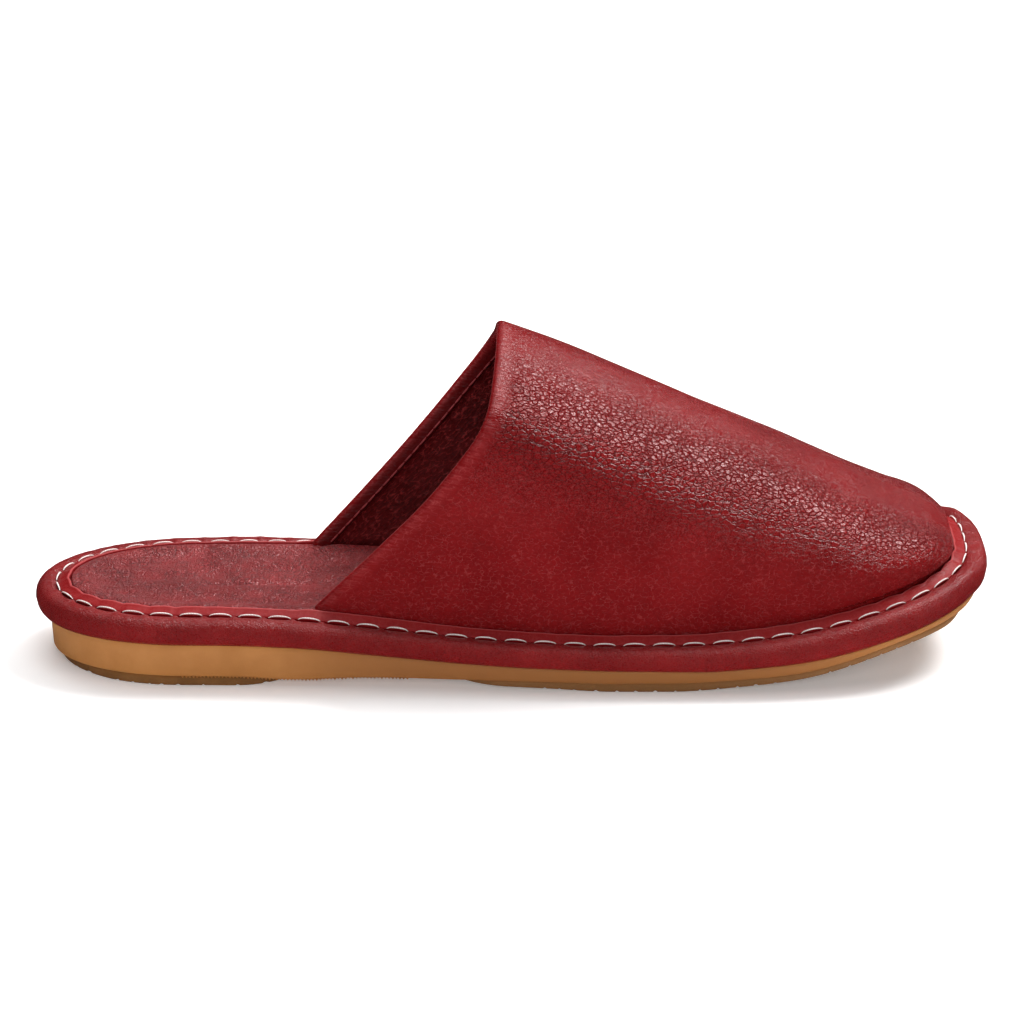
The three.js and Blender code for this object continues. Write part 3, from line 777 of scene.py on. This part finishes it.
def makePad(name, pad):
    first, final = (-seamLength / 2 + seamLength * pad[k] for k in ("from", "to"))
    turn = shareOf(np.linspace(0, 1, int((final - first) / .3)))
    xs = first + (final - first) * turn
    station = np.arccos(1 - 2 * np.clip(shareAt(xs), 0, 1)) / np.pi
    setIn = pad["setIn"] + pad["backIn"] * (1 - smoothstep(0, pad["backReach"], xs - first))
    edges = [offsetPlan(side, station, wallOut(shareAt(xs)) - sole["draft"] - setIn) for side in (-1, 1)]
    middle = (edges[0] + edges[1]) / 2
    caps = roundedEnd(xs - xs[0], pad["roundBack"], 2.3) * roundedEnd(xs[-1] - xs, pad["roundFront"], 2.3)
    outer, inner = (middle + (edge - middle) * caps[:, None] for edge in edges)
    rim = np.concatenate([outer, inner[-2:0:-1]])
    spine = spineOf(rim, (18, 14))
    centre = spine[np.minimum(np.arange(len(rim)), len(rim) - np.arange(len(rim)))]
    widths = lambda plan: np.minimum(plan[:, 1] - np.interp(plan[:, 0], outer[:, 0], outer[:, 1]),
                                     np.interp(plan[:, 0], inner[:, 0], inner[:, 1]) - plan[:, 1])
    low = lambda plan: soleBottom(plan[:, 0]) + tread(plan, np.maximum(widths(plan), 0))
    high = lambda plan, inset=0: soleBottom(plan[:, 0]) + treadDepth(plan[:, 0]) + .5
    foot = rim + (centre - rim) * .008
    edge = np.maximum(soleBottom(rim[:, 0]) + .3, low(rim))
    rings = [(rim, high(rim)), (rim, edge), (foot, low(foot))]
    points, faces = closedBody(rings, spine, np.array([.5]), np.linspace(.025, 1, 26)[:-1], high, low)
    return makePiece(name + "Pad", points, faces, treadRubber, node="outsole")


def toothTree(name):
    tree, given, add = startTree(name, {
        "Count": "Int", "Width": "Float", "Height": "Float", "Seed": "Int", "Material": "Material"})
    tooth = add("GeometryNodeMeshCone", {"Vertices": 4, "Radius Top": 0.0, "Radius Bottom": given["Width"],
                                         "Depth": given["Height"]}, fill_type="NGON")
    points, down = pathPoints(add, given)
    facing = add("FunctionNodeAxesToRotation", {0: down, 1: points["Tangent"]},
                 primary_axis="Z", secondary_axis="X")
    return finishTree(tree, add, given, points, tooth, facing, (.75, 1.05), False)


teeth = {"from": -96.0, "to": -31.0, "pitch": 1.02, "width": .56, "height": .75}


def makeTeeth():
    tree = toothTree("edgeTeeth")
    for side, name in ((-1, "outerTeeth"), (1, "innerTeeth")):
        x = np.linspace(teeth["from"], teeth["to"], 200)
        station = np.arccos(1 - 2 * shareAt(x)) / np.pi
        plan = offsetPlan(side, station, wallOut(shareAt(x)) - sole["draft"] - .42)
        path = np.column_stack([plan, soleBottom(plan[:, 0]) + treadDepth(plan[:, 0]) + .05])
        throughNodes(name, path, np.tile((0.0, 0.0, -1.0), (len(x), 1)), False, tree, {
            "Count": int((teeth["to"] - teeth["from"]) / teeth["pitch"]), "Width": teeth["width"] * mm,
            "Height": teeth["height"] * mm, "Seed": 3, "Material": wallRubber})


makeWall()
for padName, padSizes in pads.items():
    makePad(padName, padSizes)
makeTeeth()
print("outsole made")


# Upper: the vamp's leather with its turned edge, and the lining inside it
def upperSkin(station, place):
    station, place = np.broadcast_arrays(station, place)
    outer, inner = (offsetPlan(side, station, last["upperOut"]) for side in (-1, 1))
    share = shareOf(station)
    climb = np.where(place <= 1, place, 2 - place)
    toToe = smoothstep(*last["archBlend"], share)
    across = instepAcross(climb) + (toeAcross(climb) - instepAcross(climb)) * toToe
    up = instepUp(climb) + (toeUp(climb) - instepUp(climb)) * toToe
    plan = (outer + inner) / 2 + (inner - outer) * (np.where(place <= 1, -1, 1) * across / 2)[..., None]
    base = aboveSeam(plan[..., 0], last["bindingRise"])
    rise = (ridgeHeight(share) - base) * roundedEnd(seamLength * (1 - share), *last["toeBox"])
    return np.concatenate([plan, (base + rise * up)[..., None]], -1)


def upperNormal(station, place):
    station, place = np.broadcast_arrays(station, place)
    low, high = np.maximum(place - .004, 0), np.minimum(place + .004, 2)
    back = np.minimum(station, 1 - .008)
    across = upperSkin(back, high) - upperSkin(back, low)
    along = upperSkin(back + .004, place) - upperSkin(back - .004, place)
    normal = np.cross(along, across)
    return normal / np.linalg.norm(normal, axis=-1, keepdims=True)


def toplineStation(place, margin):
    low, high = np.full(place.shape, .2), np.full(place.shape, .6)
    for _ in range(40):
        middle = (low + high) / 2
        skin = upperSkin(middle, place)
        forward = np.where(place <= 1, toplineOuter(skin[..., 2]), toplineInner(skin[..., 2]))
        behind = skin[..., 0] < forward - last["length"] / 2 + margin
        low, high = np.where(behind, middle, low), np.where(behind, high, middle)
    return (low + high) / 2


vamp = {"columns": 271, "rows": 205, "hemThick": 2.9, "slope": .8, "leather": 1.25, "lump": .22,
        "bulge": 1.1, "edgeRounding": 1.45}


def vampSurface(station, place, depth):
    # a point under the outside face; the skirt below the arch stands on the ledge
    skin = upperSkin(station, np.clip(place, 0, 2))
    normal = upperNormal(station, np.clip(place, 0, 2))
    points = skin - normal * depth[..., None]
    skirt = (place < 0) | (place > 2)
    foot = offsetPlan(np.where(place < 0, -1.0, 1.0), station, last["upperOut"] - depth)
    low = aboveSeam(foot[..., 0], last["ledge"]) + last["gap"]
    dropped = np.concatenate([foot, low[..., None]], -1)
    return np.where(skirt[..., None], dropped, points), normal


def bandOf(rows, places):  # rows are (stations, depth), each of them over all the places
    station = np.stack([row[0] for row in rows])
    depth = np.repeat(np.array([row[1] for row in rows])[:, None], len(places), 1)
    place = np.repeat(places[None], len(rows), 0)
    return station, depth, place, *vampSurface(station, place, depth)


def bandFaces(rows, count):
    faces = gridFaces(rows, count, closeRows=True)
    faces.append([i * count for i in range(rows)])
    faces.append([i * count + count - 1 for i in range(rows)][::-1])
    return faces


def alongTopline(places):
    return runAlong(upperSkin(toplineStation(places, 0 * places), places))


def makeVamp():
    places = np.concatenate([[-.1], np.linspace(0, 2, vamp["columns"]), [2.1]])
    inside = np.clip(places, 0, 2)
    thick, r, slope = vamp["hemThick"], vamp["edgeRounding"], vamp["slope"]
    margins = np.array([r, 2, 2.6, 3.2, 3.8, 4.3, 4.8, 5.4, 6.2, 7.2, 8.5, 10]) / slope
    # (stations, depth) from the hem's edge, over the outside, round the toe and back inside
    rows = [(toplineStation(inside, m), 0.0) for m in margins]
    final = rows[-1][0]
    rows += [(final + (1 - final) * t, 0.0) for t in np.linspace(0, 1, vamp["rows"])[1:]]
    outsideCount = len(rows)
    innerStart = toplineStation(inside, 6.3 / slope)
    rows += [(innerStart + (1 - innerStart) * t, vamp["leather"]) for t in np.linspace(1, 0, 34)]
    hem = ((5.1, 1.3), (5.0, 2.3), (4.75, 2.75), (4.4, thick), (3.4, thick), (2.4, thick), (r, thick))
    rows += [(toplineStation(inside, m / slope), depth) for m, depth in hem]
    angles = np.linspace(np.pi, 0, 9)[1:-1]
    for angle in angles:
        rows.append((toplineStation(inside, (r - r * math.sin(angle)) / slope), r - r * math.cos(angle)))
    station, depth, place, points, normal = bandOf(rows, places)
    # soft swells in the leather, which fade at the edge, the foot and the toe
    flat, deep = points.reshape(-1, 3), depth.ravel()
    swell = softNoise(flat, 24, 31) + .6 * softNoise(flat, 11, 32)
    climb = np.minimum(place, 2 - place).ravel()
    fade = smoothstep(0, .25, climb) * (deep < .01)
    fade = fade * smoothstep(0, 9, np.repeat(np.arange(len(rows)), len(places)) * 1.0)
    share = shareOf(station.ravel())
    high = flat[:, 2] - aboveSeam(flat[:, 0], last["bindingRise"])
    # the toe bulges a little over the binding
    full = smoothstep(.7, .93, share) * smoothstep(0, 2.2, high)
    full = full * (1 - smoothstep(6, 16, high)) * (deep < .01)
    flat = flat + normal.reshape(-1, 3) * (vamp["lump"] * swell * fade + vamp["bulge"] * full)[:, None]
    # how far each point lies from the crest of the turned edge
    crest = r * math.pi / 2
    reach = np.full(station.shape, 9.0)
    strides = np.linalg.norm(np.diff(points[:outsideCount], axis=0, prepend=points[:1]), axis=-1)
    reach[:outsideCount] = strides.cumsum(0) * slope + crest
    hemReach = np.array([5, 4.4, 3.8, 3.3, 2.95, 1.95, .95])  # one for each row of the turned-in hem
    reach[-len(angles) - len(hemReach):-len(angles)] = (crest + hemReach - .95)[:, None]
    reach[-len(angles):] = np.abs(angles - np.pi / 2)[:, None] * r
    # how strong the pebbles are: none on the turned edge, soft low down and along the ridge
    edge, up = reach.ravel(), np.clip(climb, 0, 1)
    grain = smoothstep(3.2, 6.5, edge) * (.3 + .7 * smoothstep(.27, .54, up))
    grain = grain * (1 - .85 * smoothstep(.7, .93, up))
    grain = np.where(deep > .01, .15, grain)
    # mask for the painted shade inside the opening: 0 at the hem's crest, rising to 1 a little way inside the
    # turned-in hem
    inner = np.where(depth > .01, smoothstep(1.3, 2.9, reach), 0).ravel()
    # edge also places the painted highlight along the crest of the turned edge
    makePiece("vamp", flat, bandFaces(len(rows), len(places)), vampLeather, node="upper",
              data={"grain": grain, "edge": edge, "inner": inner,
                    "along": np.tile(alongTopline(inside), len(rows))})


def makeLining():
    places = np.linspace(0, 2, 141)
    begin = toplineStation(places, 5.2 / vamp["slope"])
    toToe = lambda t, depth: (begin + (1.0 - begin) * t * .998, depth)
    rows = [toToe(t, last["upperWall"]) for t in np.linspace(0, 1, 110)]
    rows += [toToe(t, vamp["leather"] + .1) for t in np.linspace(1, 0, 30)]
    points = bandOf(rows, places)[3]
    away = np.cumsum(np.linalg.norm(np.diff(points, axis=0, prepend=points[:1]), axis=-1), axis=0)
    makePiece("vampLining", points.reshape(-1, 3), bandFaces(len(rows), len(places)), liningLeather,
              node="upper",
              data={"along": np.tile(alongTopline(places), len(rows)), "edge": away.ravel()})


makeVamp()
makeLining()
print("upper made")


def sewHem():
    places = np.linspace(.015, 1.985, 400)
    station = toplineStation(places, 4.0 / vamp["slope"])
    inward = -upperNormal(station, places)
    path = upperSkin(station, places) + inward * 3.1
    run = runAlong(path)
    throughNodes("hemStitches", path, inward, False, threadTree, {
        "Count": int(run[-1] / 3.2), "Length": 3.1 * mm, "Thickness": .5 * mm, "Rise": .12 * mm,
        "Sink": .3 * mm, "Wobble": .06, "Seed": 9, "Material": redThread})


sewHem()
print("hem stitches made")

# Studio
studio = {"lens": 179.8, "distance": 1.5, "azimuth": -1.2, "elevation": 19.5, "target": (0, -.0034, .0415),
          "horizon": .1, "worldLow": .08, "worldHigh": .38, "sweepGlow": .22, "floorTone": 1.0,
          "floorGlow": .19,
          # place, what it points at, size, power, and whether the leather mirrors it
          "softboxes": {"overhead": ((-.1, .0, 1.25), (0, 0, 0), (1.7, .85), 10.5, True),
                        "key": ((.78, .44, 1.22), (.04, 0, .05), (.8, .6), 31, True),
                        "front": ((-.1, -1.5, .65), (0, 0, .04), (1.6, .6), 9.5, False),
                        "behind": ((.0, 1.25, .85), (0, .1, 0), (2.2, .7), 6, False)}}


def makeCamera():
    data = bpy.data.cameras.new("camera")
    camera = addObject("camera", data)
    a, e = math.radians(studio["azimuth"]), math.radians(studio["elevation"])
    back = Vector((math.sin(a) * math.cos(e), -math.cos(a) * math.cos(e), math.sin(e)))
    data.lens, data.sensor_width = studio["lens"], 36.0
    data.clip_start, data.clip_end = .05, 20.0
    camera.location = Vector(studio["target"]) + back * studio["distance"]
    camera.rotation_mode = "QUATERNION"
    camera.rotation_quaternion = (-back).to_track_quat("-Z", "Y")
    bpy.context.scene.camera = camera


def makeFloor():
    # a matt white acrylic sweep, lit from beneath, so that shadows stay pale
    reach, bendAt, radius = 3.0, 1.6, .8
    profile = [(-reach, 0.0)] + [(bendAt + radius * math.sin(a), radius - radius * math.cos(a))
                                 for a in np.linspace(0, math.pi / 2, 16)] + [(bendAt + radius, 3.0)]
    mesh = bpy.data.meshes.new("floor")
    points = [(x, y, z) for y, z in profile for x in (-reach, reach)]
    mesh.from_pydata(points, [], [(2 * i, 2 * i + 1, 2 * i + 3, 2 * i + 2) for i in range(len(profile) - 1)])
    mesh.polygons.foreach_set("use_smooth", [True] * len(mesh.polygons))
    material = bpy.data.materials.new("whiteSweep")
    material.use_nodes = True
    shader = material.node_tree.nodes["Principled BSDF"]
    shader.inputs["Base Color"].default_value = (studio["floorTone"],) * 3 + (1,)
    shader.inputs["Emission Color"].default_value = (1, 1, 1, 1)
    shader.inputs["Emission Strength"].default_value = studio["floorGlow"]
    shader.inputs["Roughness"].default_value = .9
    shader.inputs["Specular IOR Level"].default_value = .1
    mesh.materials.append(material)
    floor = addObject("floor", mesh)
    floor.visible_glossy = False  # it fills the shadows softly, and is not mirrored in the leather


def addSoftbox(name, place, target, size, power, mirrored):
    data = bpy.data.lights.new(name, "AREA")
    data.shape, data.size, data.size_y, data.energy = "RECTANGLE", size[0], size[1], power
    lamp = addObject(name, data)
    lamp.location = place
    lamp.visible_glossy = mirrored
    lamp.rotation_mode = "QUATERNION"
    lamp.rotation_quaternion = (Vector(target) - Vector(place)).to_track_quat("-Z", "Y")


def makeLights():
    world = bpy.data.worlds.new("studio")
    bpy.context.scene.world = world
    world.use_nodes = True
    tree = world.node_tree
    # pale above, dim round the horizon, where black flags keep the sides of the shoe deep in colour
    seen = addNode(tree, "ShaderNodeTexCoord").outputs["Generated"]
    way = addNode(tree, "ShaderNodeSeparateXYZ", {0: seen}).outputs
    strength = ranged(tree, way[2], studio["horizon"], 1.0, studio["worldLow"], studio["worldHigh"])
    # the lit sweep behind the shoe, which the far outline of the leather mirrors
    low = ranged(tree, way[2], .05, .45, studio["sweepGlow"], 0.0)
    sweep = calc(tree, "MULTIPLY", ranged(tree, way[1], .35, .9), low)
    strength = calc(tree, "ADD", strength, sweep)
    tree.links.new(strength, tree.nodes["Background"].inputs["Strength"])
    for name, lamp in studio["softboxes"].items():
        addSoftbox(name, *lamp)
    bpy.context.scene.view_settings.view_transform = "Standard"


makeCamera()
makeFloor()
makeLights()
print("studio made")
